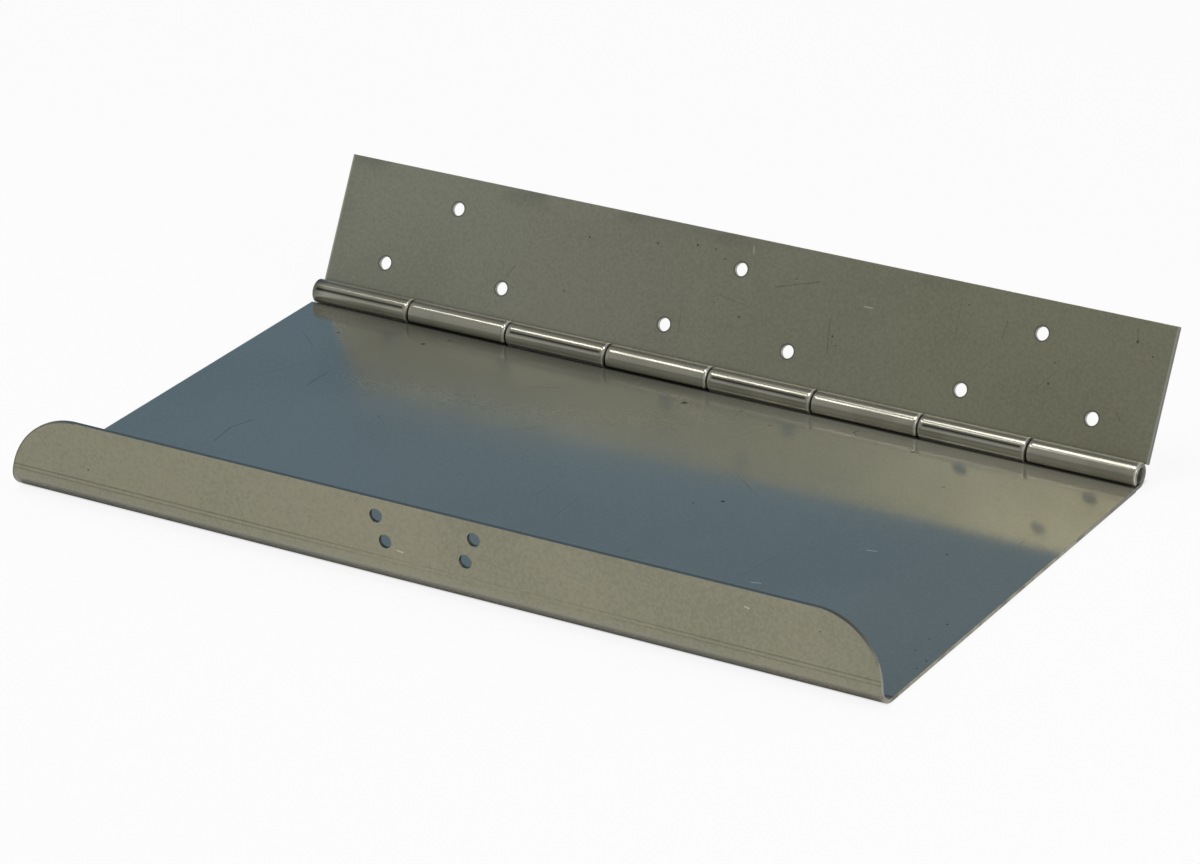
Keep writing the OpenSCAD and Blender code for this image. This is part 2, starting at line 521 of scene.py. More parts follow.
TRANSOM_SPECKS = (
    (-84, 54, 0.7), (-47, 58, 0.7), (-91, 26, 0.6), (55, 32, 0.7), (58, 28, 0.5), (169, 42, 0.5),
    (168, 32, 0.8), (206.5, 59.3, 1.0), (215.4, 54, 0.6), (30, 55, 0.5), (120, 60, 0.5), (-150, 40, 0.4),
    (-10, 36, 0.4), (4.6, 31.6, 0.7), (-15.7, 61, 0.6), (-25.6, 61, 0.8), (-9.7, 57.2, 0.6),
)
TRANSOM_SCRATCHES = (
    (-124, 27, -121, 33), (204, 26, 207, 22), (20, 49.2, 42, 55.9), (52, 40, 54, 24),
    (205.2, 64.8, 206.4, 60), (140, 48, 141, 56),
)
TRANSOM_NICKS = ((68, 49, 72, 49), (3.9, 65.6, 4.6, 62.8))
print(len(TRANSOM_SPECKS), "specks and", len(TRANSOM_SCRATCHES), "scratches on the transom plate")

# %% The transom plate's finish
TRANSOM_LEFT = ((0.304, 0.304, 0.245, 1), (0.256, 0.256, 0.204, 1))
TRANSOM_RIGHT = ((0.285, 0.28, 0.202, 1), (0.238, 0.233, 0.165, 1))
TRANSOM_ROUGHNESS = 0.27
SPECK_DARKNESS = 0.8
FAINT_SCRATCHES = (0.5 * MM, 0.35)
SMUDGES = (60, 3.0, (0.4, 1, 1), 11)
SMUDGE_EDGES = (0.52, 0.72)
TOP_GRIME = (58 * MM, 71 * MM, 0.3)
# Painted shade in the crevice above the hinge, and in a ring round each hole
CREVICE_SHADE = (7.4 * MM, 6.2 * MM, 0.3)
HOLE_RIM_SHADE = (1.1 * MM, 0.44 * MM, 0.6)
# A painted highlight in a line near each end of the plate
PLATE_END_HIGHLIGHT = (1.1 * MM, 0.55 * MM, 0.45)


def transom_smudges_and_shade(finish):
    """Smudges along the top edge, and painted shade in the crevice above the hinge and in rings round the
    holes.
    """
    rise = finish.vector("DOT_PRODUCT", finish.vector("SUBTRACT", finish.place, hinge), up_plate, "Value")
    smudges = finish.rise(finish.noise(*SMUDGES), *SMUDGE_EDGES)
    darkening = finish.rise(rise, *TOP_GRIME) * smudges + finish.rise(rise, *CREVICE_SHADE)
    for x, y in screw_holes:
        from_hole = finish.distance(on_transom(x / MM, -y / MM)) - screw_radius
        darkening = finish.rise(from_hole, *HOLE_RIM_SHADE) + darkening
    return darkening


def transom_finish():
    finish = Satin("transom_satin")
    spots = finish.specks(on_transom, TRANSOM_SPECKS) * SPECK_DARKNESS
    scratches = finish.strokes(on_transom, TRANSOM_SCRATCHES, *FAINT_SCRATCHES)
    nicks = finish.strokes(on_transom, TRANSOM_NICKS, *FAINT_NICKS)
    rightward = finish.rise(finish.sideways, -half_width, half_width)
    shade = finish.mix(rightward, finish.shade(*TRANSOM_LEFT), finish.shade(*TRANSOM_RIGHT))
    # The stains include painted shade in the crevice and round the holes
    stains_and_shade = spots + scratches + transom_smudges_and_shade(finish)
    # The plate's ends get a painted highlight along with the real nicks
    return finish.sheet(shade, TRANSOM_ROUGHNESS, stains_and_shade, finish.rise(finish.from_end, *PLATE_END_HIGHLIGHT) + nicks)


transom_satin = transom_finish()
print("transom plate:", len(transom_satin.node_tree.nodes), "nodes")

# %% [markdown]
# ## Rolled and cut steel
# Where the sheet was drawn round the pin, the die polished it. The transom plate's die also bit lines into
# its knuckles, which the finish darkens. One function gives their depth to the shape and their darkness to
# the finish. Painted shade lies on a knuckle's foot, above its highlight where its top meets the plate, and
# at the plate's left end; painted highlights lie beside the die lines and on each knuckle's right end. A
# sheared edge is rougher, with fine lines across it, and painted shade darkens the plate's end faces and the
# knuckles' ends behind the pin. The screw holes have bright walls, and the lip's holes walls painted dark.

# %% The lines that the die bit
KNUCKLES = 8
KNUCKLE_GAP = 0.8 * MM
# Each line has its angle round the pin and its width in degrees, and its share of the depth
DIE_LINES = ((143, 3.5, 0.15), (161, 3.0, 0.15), (186, 6.5, 1.0))
DIE_LINE_STOP = 1.8 * MM
DIE_LINE_FULL = 3.6 * MM
knuckle_pitch = leaf_width / KNUCKLES


def bell(graph, angle, degrees, width, most):
    """Most at one angle round the hinge axis, falling off to both sides of it."""
    offset = (angle - math.radians(degrees)) / math.radians(width)
    return graph.math("EXPONENT", offset * offset * -1.0) * most


def die_marks(graph, angle, from_end):
    """How deep the die bit: a bell curve across each line, fading out short of a knuckle's ends."""
    depth = 0.0
    for line in DIE_LINES:
        depth = bell(graph, angle, *line) + depth
    return depth * graph.rise(from_end, DIE_LINE_STOP, DIE_LINE_FULL)


print(len(DIE_LINES), "die lines on knuckles", round(knuckle_pitch / MM, 2), "mm apart")

# %% The rolled finish
ROLLED_MIRROR = 0.48
ROLLED_CLEAN = (0.36, 0.347, 0.283, 1)
ROLLED_FILMED = (0.30, 0.288, 0.23, 1)
ROLLED_FILM = (45, 3.0)
ROLLED_FILM_EDGES = (0.42, 0.66)
DRAWN = (1500, 2.0, (0.012, 1, 1))
DRAWN_HEIGHT = 0.0024 * MM
ROLLED_ROUGHNESS = 0.10
ROLLED_DULLNESS = 0.06
# Painted shade on the knuckles: a band above their highlight and where their top meets the plate
SHADE_ABOVE_HIGHLIGHT = (231, 13, 0.75)
SHADE_AT_PLATE = (math.radians(246), math.radians(264), 0.3)
# Painted shade on each knuckle's foot, where it meets the sheet below
PLAIN_FOOT_SHADE = (math.radians(148), math.radians(123), 0.7)
DIE_FOOT_SHADE = (math.radians(132), math.radians(119), 0.7)
# The die lines and the painted shade at the left end darken to this colour
DIE_DARK = (0.02, 0.02, 0.016, 1)
# A painted highlight on the shoulder beside the die lines
SHOULDER_HIGHLIGHT = (171, 4.0, 0.45)
# Painted shade on the left end of the plate's first knuckle
LEFT_END_SHADE = (9 * MM - half_width, -half_width, 0.6)
knuckle_stop = knuckle_pitch - KNUCKLE_GAP / 2
# A painted highlight on the right end of every knuckle
END_HIGHLIGHT = (knuckle_stop - 1.5 * MM, knuckle_stop - 1.0 * MM, 0.7)


def hinge_angle(finish):
    """The angle round the hinge axis, from the tangent of the transom plate under the pin to the front."""
    arm = finish.vector("SUBTRACT", finish.place, hinge)
    outward = finish.vector("DOT_PRODUCT", arm, back, "Value")
    upward = finish.vector("DOT_PRODUCT", arm, up_plate, "Value")
    return math.pi - finish.math("ARCTAN2", upward * -1.0, outward * -1.0)


def die_bitten(finish, angle, colour):
    """The plate's knuckles: darkened die lines, a painted highlight on the shoulder beside them
    and painted shade at the leaf's left end.
    """
    along = finish.math("MODULO", finish.sideways + half_width, 2 * knuckle_pitch)
    from_end = knuckle_pitch / 2 - finish.math("ABSOLUTE", along - knuckle_pitch / 2)
    shoulder_highlight = bell(finish, angle, *SHOULDER_HIGHLIGHT) * finish.rise(from_end, DIE_LINE_STOP, DIE_LINE_FULL)
    darkened = die_marks(finish, angle, from_end) + finish.rise(finish.sideways, *LEFT_END_SHADE)
    return finish.mix(darkened, finish.mix(shoulder_highlight, colour, BARE_METAL_AND_HIGHLIGHT), DIE_DARK)


def rolled_sheet(name, foot, bitten):
    finish = Finish(name, ROLLED_MIRROR)
    film = finish.rise(finish.noise(*ROLLED_FILM), *ROLLED_FILM_EDGES)
    drawn = finish.noise(*DRAWN)
    angle = hinge_angle(finish)
    # Painted shade above the highlight, where the top meets the plate, and on the foot
    crevice = bell(finish, angle, *SHADE_ABOVE_HIGHLIGHT) + finish.rise(angle, *SHADE_AT_PLATE)
    darkening = crevice + finish.rise(angle, *foot)
    colour = finish.mix(darkening, finish.mix(film, ROLLED_CLEAN, ROLLED_FILMED), DIRT_AND_SHADE)
    if bitten:
        colour = die_bitten(finish, angle, colour)
    along = finish.math("MODULO", finish.sideways + half_width, knuckle_pitch)
    # Painted highlight on each knuckle's right end
    colour = finish.mix(finish.rise(along, *END_HIGHLIGHT), colour, BARE_METAL_AND_HIGHLIGHT)
    dullness = (film + drawn) * ROLLED_DULLNESS + darkening * MARK_DULLNESS
    return finish.done(colour, dullness + ROLLED_ROUGHNESS, drawn * DRAWN_HEIGHT)


rolled_steel = rolled_sheet("rolled_steel", PLAIN_FOOT_SHADE, False)
die_rolled_steel = rolled_sheet("die_rolled_steel", DIE_FOOT_SHADE, True)
print("rolled finishes:", rolled_steel.name, die_rolled_steel.name)

# %% The cut finishes
DARK_EDGE = (0.12, 0.118, 0.10, 1)
TEARS = (2200, 2.0, (1, 1, 0.1))
TEAR_HEIGHT = 0.0064 * MM
PATCHES = (120, 2.0)
PATCH_EDGES = (0.40, 0.70)
PATCH_DULLNESS = 0.08
CUT_ROUGHNESS = 0.32
BACK_AND_TOP = {"behind": (40 * MM, 115 * MM), "height": (18 * MM, 34 * MM)}
# Painted shade on the knuckles' end faces behind the pin
SHADE_BEHIND_PIN = {"behind": (hinge.y - 3 * MM, hinge.y + 1 * MM)}
# Painted shade on the end faces of the transom plate
SHADED_PLATE_ENDS = {"from_end": (0.3 * MM, 0.1 * MM)}


def cut_edge(name, clean, torn, darker=None):
    """An edge with lines across it. The last argument says what to measure and where that makes it dark;
    at the plate's ends and the knuckles' ends behind the pin that darkness is painted shade.
    """
    finish = Finish(name)
    patches = finish.rise(finish.noise(*PATCHES), *PATCH_EDGES)
    darkness = patches
    for measure, edges in (darker or {}).items():
        darkness = finish.math("MAXIMUM", darkness, finish.rise(getattr(finish, measure), *edges))
    roughness = patches * PATCH_DULLNESS + CUT_ROUGHNESS
    return finish.done(finish.mix(darkness, clean, torn), roughness, finish.noise(*TEARS) * TEAR_HEIGHT)


# The plane's edges are darker towards the back and the top
plane_edge = cut_edge("plane_edge", (0.27, 0.262, 0.20, 1), DARK_EDGE, BACK_AND_TOP)
transom_edge = cut_edge("transom_edge", (0.32, 0.312, 0.25, 1), DARK_EDGE, SHADED_PLATE_ENDS)
knuckle_end = cut_edge("knuckle_end", (0.36, 0.352, 0.29, 1), DARK_EDGE, SHADE_BEHIND_PIN)
bright_hole = cut_edge("bright_hole", (0.36, 0.354, 0.30, 1), (0.24, 0.235, 0.20, 1))
# The walls of the lip's holes are painted near black as shade
dark_hole = cut_edge("dark_hole", (0.10, 0.10, 0.085, 1), (0.07, 0.07, 0.06, 1))
print("cut finishes from", plane_edge.name, "to", dark_hole.name)

# %% [markdown]
# ## Cutting a flat pattern with its holes
# A shop punches the holes while the sheet is flat. A Geometry Nodes tree does the same: the object's edges
# are the outline of the pattern, its loose points are the hole centres, and Fill Curve makes one face of it
# all. A Boolean could cut the holes too, but it leaves ragged faces that show in a mirror finish.

# %% The punching tree
def new_tree(name, inputs):
    tree = bpy.data.node_groups.new(name, "GeometryNodeTree")
    for title, kind in {"Pattern": "NodeSocketGeometry", **inputs, "Material": "NodeSocketMaterial"}.items():
        tree.interface.new_socket(title, in_out="INPUT", socket_type=kind)
    tree.interface.new_socket("Sheet", in_out="OUTPUT", socket_type="NodeSocketGeometry")
    return Graph(tree)


def end_tree(graph, geometry):
    real = graph.node("GeometryNodeRealizeInstances", {0: geometry})
    material = graph.node("NodeGroupInput", output="Material")
    finished = graph.node("GeometryNodeSetMaterial", {"Geometry": real, "Material": material})
    graph.node("NodeGroupOutput", {"Sheet": finished})


punching = new_tree("punched_pattern", {"Hole radius": "NodeSocketFloat", "Hole sides": "NodeSocketInt"})
given = punching.node("NodeGroupInput", output="Pattern")
neighbours = punching.node("GeometryNodeInputMeshVertexNeighbors", output="Vertex Count")
circle = {"Resolution": given.output("Hole sides"), "Radius": given.output("Hole radius")}
ring = punching.node("GeometryNodeCurvePrimitiveCircle", circle)
centres = {"Points": given, "Selection": neighbours < 1, "Instance": ring}
rings = punching.node("GeometryNodeInstanceOnPoints", centres)
outline = punching.node("GeometryNodeMeshToCurve", {0: given})
lines = punching.node("GeometryNodeJoinGeometry", {0: [outline, rings]})
loops = punching.node("GeometryNodeRealizeInstances", {0: lines})
end_tree(punching, punching.node("GeometryNodeFillCurve", {"Curve": loops}, mode="NGONS"))
print("punching tree:", len(punching.tree.nodes), "nodes")


# %% Run a tree on a pattern
def run_tree(graph, mesh, sizes):
    """The plain mesh that a tree makes of a mesh. Its inputs are set by their identifiers."""
    worker = add_object(graph.tree.name, mesh)
    modifier = worker.modifiers.new(graph.tree.name, "NODES")
    modifier.node_group = graph.tree
    for item in graph.tree.interface.items_tree:
        if item.in_out == "INPUT" and item.name in sizes:
            modifier[item.identifier] = sizes[item.name]
    made = bpy.data.meshes.new_from_object(worker.evaluated_get(bpy.context.evaluated_depsgraph_get()))
    bpy.data.objects.remove(worker)
    return made


HOLE_SIDES = 48


def punched_sheet(outline, centres, radius, material):
    """A flat sheet in X and Y with an outline and round holes."""
    count = len(outline)
    mesh = bpy.data.meshes.new("pattern")
    points = [(x, y, 0) for x, y in outline + centres]
    mesh.from_pydata(points, [(i, (i + 1) % count) for i in range(count)], [])
    sizes = {"Hole radius": radius, "Hole sides": HOLE_SIDES, "Material": material}
    return run_tree(punching, mesh, sizes)


# %% [markdown]
# ## Rolling the knuckles
# Eight knuckles share the hinge line by turns, four to each leaf, and all four of a leaf are alike. So a
# second tree rolls one strip of sheet round the axis and repeats it along the hinge. The strip is a grid:
# its length becomes the angle round the pin. The die's lines are shallow grooves in the rolled surface.

# %% The rolling tree
LENGTHS = ("Length", "Spacing", "First", "Radius", "Curl", "Die depth")
COUNTS = ("Count", "Columns", "Rows")

rolling = new_tree(
    "rolled_knuckles",
    {**dict.fromkeys(LENGTHS, "NodeSocketFloat"), **dict.fromkeys(COUNTS, "NodeSocketInt")},
)
size = rolling.node("NodeGroupInput")
length = size.output("Length")
curled = size.output("Curl")
counts = {"Vertices X": size.output("Columns"), "Vertices Y": size.output("Rows")}
strip = rolling.node("GeometryNodeMeshGrid", {"Size X": length, "Size Y": curled, **counts})
along, across, _ = rolling.split(rolling.node("GeometryNodeInputPosition"))
angle = across + curled / 2
from_end = length / 2 - rolling.math("ABSOLUTE", along)
reach = size.output("Radius") - die_marks(rolling, angle, from_end) * size.output("Die depth")
rolled_y = reach * rolling.math("SINE", angle)
rolled_z = reach * rolling.math("COSINE", angle) * -1.0
rolled_place = rolling.node("ShaderNodeCombineXYZ", {"X": along, "Y": rolled_y, "Z": rolled_z})
knuckle = rolling.node("GeometryNodeSetPosition", {"Geometry": strip, "Position": rolled_place})
first_seat = rolling.node("ShaderNodeCombineXYZ", {"X": size.output("First")})
step = rolling.node("ShaderNodeCombineXYZ", {"X": size.output("Spacing")})
line = {"Count": size.output("Count"), "Start Location": first_seat, "Offset": step}
seats = rolling.node("GeometryNodeMeshLine", line)
end_tree(rolling, rolling.node("GeometryNodeInstanceOnPoints", {"Points": seats, "Instance": knuckle}))
print("rolling tree:", len(rolling.tree.nodes), "nodes")

# %% Roll the knuckles of one leaf
SEAM_GAP = 0.9 * MM
CURL_ROWS = 193
COLUMNS = 25

knuckle_length = knuckle_pitch - KNUCKLE_GAP
curl = 1.5 * math.pi + math.asin((bore_radius - SEAM_GAP) / barrel_radius)


def rolled_knuckles(first, die_depth, material):
    """Every second knuckle from the one called first, about the X axis, from the tangent under the pin."""
    sizes = {
        "Length": knuckle_length,
        "Spacing": 2 * knuckle_pitch,
        "First": (first + 0.5) * knuckle_pitch - half_width,
        "Count": KNUCKLES // 2,
        "Radius": barrel_radius,
        "Curl": curl,
        "Columns": COLUMNS,
        "Rows": CURL_ROWS,
        "Die depth": die_depth,
        "Material": material,
    }
    return run_tree(rolling, bpy.data.meshes.new("strip"), sizes)


print("a knuckle curls", round(math.degrees(curl)), "degrees round the pin")


# %% [markdown]
# ## The edge along the hinge
# A leaf's blank ends in a comb: a tongue for each knuckle of its own, and a notch that clears each knuckle of
# the other leaf. The points on a tongue's tip match the columns of the rolled strip, so that the two can be
# merged into one sheet without a seam.

# %% The comb and the welded sheet
NOTCH_CLEARANCE = 0.8 * MM
WELD_DISTANCE = 0.002 * MM
notch_depth = math.sqrt((barrel_radius + NOTCH_CLEARANCE) ** 2 - bore_radius**2)


def comb_edge(first):
    """The points of a leaf's hinge edge from left to right, in X and the distance behind the axis."""
    points = [(-half_width, -notch_depth)]
    for index in range(first, KNUCKLES, 2):
        start = index * knuckle_pitch + KNUCKLE_GAP / 2 - half_width
        steps = [start + knuckle_length * step / (COLUMNS - 1) for step in range(COLUMNS)]
        points.append((steps[0], -notch_depth))
        points.extend((x, 0) for x in steps)
        points.append((steps[-1], -notch_depth))
    points.append((half_width, -notch_depth))
    return points


def welded(parts, place, outward, finishes):
    """One sheet from several meshes about the hinge axis, in its place, with outward on its outside."""
    sheet = bmesh.new()
    for mesh in parts:
        known = len(sheet.faces)
        sheet.from_mesh(mesh)
        sheet.faces.ensure_lookup_table()
        for face in sheet.faces[known:]:
            face.material_index = finishes.index(mesh.materials[face.material_index])
            face.smooth = True
    bmesh.ops.remove_doubles(sheet, verts=sheet.verts, dist=WELD_DISTANCE)
    sheet.transform(place)
    bmesh.ops.recalc_face_normals(sheet, faces=sheet.faces)
    widest = max(sheet.faces, key=lambda face: face.calc_area())
    if widest.normal.dot(outward) < 0:
        bmesh.ops.reverse_faces(sheet, faces=sheet.faces)
    return sheet


print("notches", round(notch_depth / MM, 2), "mm deep")


# %% [markdown]
# ## Thickness and edges
# Up to here a leaf is its outer face alone. Solidify adds the wall towards the inside and gives the rims the
# sheared finish. Bevel breaks every cut edge, as a quick pass with a file does, and those narrow rounds catch
# the light. Weighted normals keep the large flats flat where they run into a bend.

# %% The edges to break
KNUCKLE_ROUND = 0.9 * MM
EDGE_BREAK = 0.14 * MM
EDGE_ANGLE = math.radians(40)
ROUND_START = math.radians(10)
ROUND_FULL = math.radians(40)


def edge_share(edge, outward):
    """An edge's share of the bevel: all of it round a knuckle's ends, little elsewhere, none at its seam."""
    least = EDGE_BREAK / KNUCKLE_ROUND
    arms = [(vertex.co - hinge).yz for vertex in edge.verts]
    reaches = [arm.length for arm in arms]
    if max(reaches) > barrel_radius + EDGE_BREAK:
        return least
    along_hinge = abs(edge.verts[0].co.x - edge.verts[1].co.x) > EDGE_BREAK
    if along_hinge or abs(reaches[0] - reaches[1]) > EDGE_BREAK:
        return 0.0
    if min(reaches) < barrel_radius - EDGE_BREAK:
        return least
    turned = (arms[0] + arms[1]).angle(outward.yz)
    return least + (1 - least) * min(1.0, max(0.0, (turned - ROUND_START) / (ROUND_FULL - ROUND_START)))


def mark_edges(mesh, outward):
    """Gives every sharp edge its share of the bevel."""
    shape = bmesh.new()
    shape.from_mesh(mesh)
    share = shape.edges.layers.float.new("bevel_weight_edge")
    for edge in shape.edges:
        if edge.calc_face_angle(0) > EDGE_ANGLE:
            edge[share] = edge_share(edge, outward)
            edge.smooth = edge[share] > 0
    shape.to_mesh(mesh)
    shape.free()


# %% Finish a leaf
# A leaf's finishes are those of its sheet, its knuckles, the rims of each, and its holes
WALL = {"offset": -1, "use_even_offset": True, "material_offset_rim": 2}
BROKEN_EDGES = {"segments": 3, "limit_method": "WEIGHT", "use_clamp_overlap": False}


def mesh_from(name, shape):
    mesh = bpy.data.meshes.new(name)
    shape.to_mesh(mesh)
    shape.free()
    return mesh


def modify(piece, kind, **settings):
    modifier = piece.modifiers.new(kind, kind)
    for name, setting in settings.items():
        setattr(modifier, name, setting)


def plain_mesh(piece):
    """Applies a piece's modifiers, so that its mesh is the final shape."""
    piece.data = bpy.data.meshes.new_from_object(piece.evaluated_get(bpy.context.evaluated_depsgraph_get()))
    piece.modifiers.clear()


def line_holes(mesh, centres, radius, finish_index):
    """Gives the walls of the punched holes their own finish."""
    reach = math.hypot(radius, sheet_thickness)
    for face in mesh.polygons:
        if any((face.center - centre).length < reach for centre in centres):
            face.material_index = finish_index


def finished_leaf(name, parts, place, outward, finishes, hole_centres, hole_radius):
    """The object of a leaf with its wall, its broken edges and its smooth shading."""
    mesh = mesh_from(name, welded(parts, place, outward, finishes))
    for material in finishes:
        mesh.materials.append(material)
    leaf = add_object(name, mesh)
    modify(leaf, "SOLIDIFY", thickness=sheet_thickness, **WALL)
    plain_mesh(leaf)
    line_holes(leaf.data, hole_centres, hole_radius, len(finishes) - 1)
    mark_edges(leaf.data, outward)
    modify(leaf, "BEVEL", width=KNUCKLE_ROUND, **BROKEN_EDGES)
    modify(leaf, "WEIGHTED_NORMAL", keep_sharp=True)
    plain_mesh(leaf)
    print(name, len(leaf.data.polygons), "faces")
    return leaf


# %% [markdown]
# ## The transom plate
# This leaf is screwed to the boat. It is a plain rectangle with nine screw holes and its rolled edge, so it
# is cut flat about the hinge axis first and then swung up to its lean.

# %% Make the transom plate
_, transom_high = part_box("transom_plate")
top_rise = transom_high.z - hinge.z + bore_radius * math.sin(lean)
transom_height = top_rise / math.cos(lean)

transom_outline = comb_edge(0) + [(half_width, -transom_height), (-half_width, -transom_height)]
plate = punched_sheet(transom_outline, screw_holes, screw_radius, transom_satin)
plate.transform(Matrix.Translation((0, 0, -barrel_radius)))
swing = Matrix.Rotation(-math.pi / 2 - lean, 4, "X") @ Matrix.Diagonal((1, 1, -1, 1))

DIE_DEPTH = 0.15 * MM
transom_finishes = [transom_satin, die_rolled_steel, transom_edge, knuckle_end, bright_hole]
parts = [plate, rolled_knuckles(0, DIE_DEPTH, die_rolled_steel)]
place = Matrix.Translation(hinge) @ swing
holes = [place @ Vector((x, y, -barrel_radius)) for x, y in screw_holes]
transom_plate = finished_leaf(
    "transom_plate_sheet", parts, place, back, transom_finishes, holes, screw_radius
)
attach(transom_plate, "transom")
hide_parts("transom_plate")
print(len(screw_holes), "screw holes in a plate", round(transom_height / MM, 1), "mm high")

# %% [markdown]
# ## The plane and its lip
# The plane is one sheet too. A press brake turned its trailing edge up into the lip, and its die left two
# fine lines above the bend. The section from the flat to above those lines is a list of points, each a row
# across the sheet. The lip's top corners are cut to a large round, so the rows get shorter from where the
# round begins. The rest of the lip is punched from a flat pattern of its own.

# %% The bend as rows
LIP_BEND_RADIUS = 10 * MM
BEND_STEPS = 18
BRAKE_LINE_DEPTH = 0.08 * MM

lip_flat_start = BRAKE_LINES[-1][0] + 2 * BRAKE_LINE_WIDTH


def lip_end(side, height):
    """The X of the lip's left or right end at a height. The round of the corner draws it in."""
    radius = LIP_CORNERS[side]
    rise = max(0.0, height - lip_height + radius)
    return side * (half_width - radius + math.sqrt(radius**2 - rise**2))


def bend_section():
    """The outer face from the flat to the upright part of the lip, as points in Y and Z."""
    section = []
    for step in range(BEND_STEPS + 1):
        turn = 0.5 * math.pi * step / BEND_STEPS
        run = LIP_BEND_RADIUS * (1 - math.sin(turn))
        section.append((lip_face + run, LIP_BEND_RADIUS * (1 - math.cos(turn))))
    for height, _ in BRAKE_LINES:
        for side, depth in ((-1, 0), (0, BRAKE_LINE_DEPTH), (1, 0)):
            section.append((lip_face + depth, height + side * BRAKE_LINE_WIDTH))
    section.append((lip_face, lip_flat_start))
    return section


print(len(bend_section()), "rows across the bend")


# %% The bend and the lip
def bend_strip(section, material):
    """The rows of the bend, each a straight line across the sheet."""
    points = [(lip_end(side, z), y, z) for y, z in section for side in (-1, 1)]
    faces = [(i, i + 1, i + 3, i + 2) for i in range(0, len(points) - 2, 2)]
    mesh = bpy.data.meshes.new("bend")
    mesh.from_pydata(points, [], faces)
    mesh.materials.append(material)
    return mesh


CORNER_STEPS = 28


def corner_arc(side):
    """One top corner of the lip in X and Z, from the foot of its upright part to the top edge."""
    radius = LIP_CORNERS[side]
    start = lip_height - radius
    first_turn = math.asin((lip_flat_start - start) / radius)
    arc = []
    for step in range(CORNER_STEPS + 1):
        turn = first_turn + (0.5 * math.pi - first_turn) * step / CORNER_STEPS
        arc.append((side * (half_width - radius + radius * math.cos(turn)), start + radius * math.sin(turn)))
    return arc


lip_holes = []
for title, mount in mounts.items():
    if title.startswith("actuator"):
        reach = mount["dims"]["spacing_x_mm"] * MM / 2
        lip_holes += [(side * reach, mount["pos_m"][2]) for side in (-1, 1)]
        lip_hole_radius = mount["dims"]["hole_r_mm"] * MM

lip_outline = corner_arc(1) + corner_arc(-1)[::-1]
lip = punched_sheet(lip_outline, lip_holes, lip_hole_radius, plane_satin)
lip.transform(Matrix.Translation((0, lip_face, 0)) @ Matrix.Rotation(math.pi / 2, 4, "X"))
bend = bend_strip(bend_section(), plane_satin)
print("lip:", len(lip_outline), "points in its outline")

# %% Make the trim plane
flat_end = lip_face + LIP_BEND_RADIUS - hinge.y
flat_outline = comb_edge(1) + [(half_width, flat_end), (-half_width, flat_end)]
flat = punched_sheet(flat_outline, [], lip_hole_radius, plane_satin)
flat.transform(Matrix.Translation((0, 0, -barrel_radius)))
for mesh in (lip, bend):
    mesh.transform(Matrix.Translation(-hinge))

plane_finishes = [plane_satin, rolled_steel, plane_edge, knuckle_end, dark_hole]
underside = Vector((0, 0, -1))
parts = [flat, bend, lip, rolled_knuckles(1, 0.0, rolled_steel)]
place = Matrix.Translation(hinge)
holes = [Vector((x, lip_face, z)) for x, z in lip_holes]
trim_plane = finished_leaf(
    "trim_plane_sheet", parts, place, underside, plane_finishes, holes, lip_hole_radius
)
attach(trim_plane, "plane")
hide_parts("trim_plane")
print(len(lip_holes), "holes in a lip", round(lip_height / MM, 1), "mm high")

# %% [markdown]
# ## The hinge pin
# The pin is drawn bar, cut to length. Its dark colour is partly tarnish and partly painted shade. Its ends
# lie a little inside the outer two knuckles, and it shows as a thread of metal in the gaps between the
# knuckles. It is turned from a profile: a rounded shoulder, and an end face that is slightly crowned where
# the hammer settled it.

# %% Turn the pin
PIN_SIDES = 64
PIN_SHOULDER = 0.6 * MM
PIN_CROWN = 0.15 * MM
SHOULDER_STEPS = 6
CROWN_RINGS = (0.75, 0.5, 0.25)


def pin_profile():
    """Half the pin's outline from its middle to its end, as distance along X and radius."""
    end = (pin_high.x - pin_low.x) / 2
    face = pin_radius - PIN_SHOULDER
    profile = [(0, pin_radius)]
    for step in range(SHOULDER_STEPS + 1):
        turn = 0.5 * math.pi * step / SHOULDER_STEPS
        x = end - PIN_CROWN - PIN_SHOULDER * (1 - math.sin(turn))
        profile.append((x, face + PIN_SHOULDER * math.cos(turn)))
    profile += [(end - PIN_CROWN * share**2, face * share) for share in CROWN_RINGS]
    return profile, end


def turned_pin(material):
    half_profile, end = pin_profile()
    profile = [(-x, r) for x, r in reversed(half_profile[1:])] + half_profile
    turns = [2 * math.pi * side / PIN_SIDES for side in range(PIN_SIDES)]
    shape = bmesh.new()
    rings = []
    for x, r in profile:
        places = [hinge + Vector((x, r * math.cos(turn), r * math.sin(turn))) for turn in turns]
        rings.append([shape.verts.new(place) for place in places])
    for here, there in zip(rings, rings[1:]):
        for side in range(PIN_SIDES):
            after = (side + 1) % PIN_SIDES
            shape.faces.new((here[side], here[after], there[after], there[side]))
    for ring, x in ((rings[0], -end), (rings[-1], end)):
        middle = shape.verts.new(hinge + Vector((x, 0, 0)))
        for side in range(PIN_SIDES):
            shape.faces.new((ring[side], ring[(side + 1) % PIN_SIDES], middle))
    bmesh.ops.recalc_face_normals(shape, faces=shape.faces)
    mesh = mesh_from("hinge_pin_bar", shape)
    mesh.materials.append(material)
    mesh.shade_smooth()
    return mesh


# %% Make the hinge pin
# Dark: partly tarnish and partly painted shade for the pin's ends and the gaps where it shows
BAR_CLEAN = (0.14, 0.137, 0.115, 1)
BAR_STAINED = (0.06, 0.058, 0.05, 1)
BAR_LINES = (1200, 2.0, (0.02, 1, 1))
BAR_HEIGHT = 0.0032 * MM
BAR_ROUGHNESS = 0.25
BAR_DULLNESS = 0.1
BAR_STAINS = (300, 3.0)
STAIN_EDGES = (0.45, 0.62)


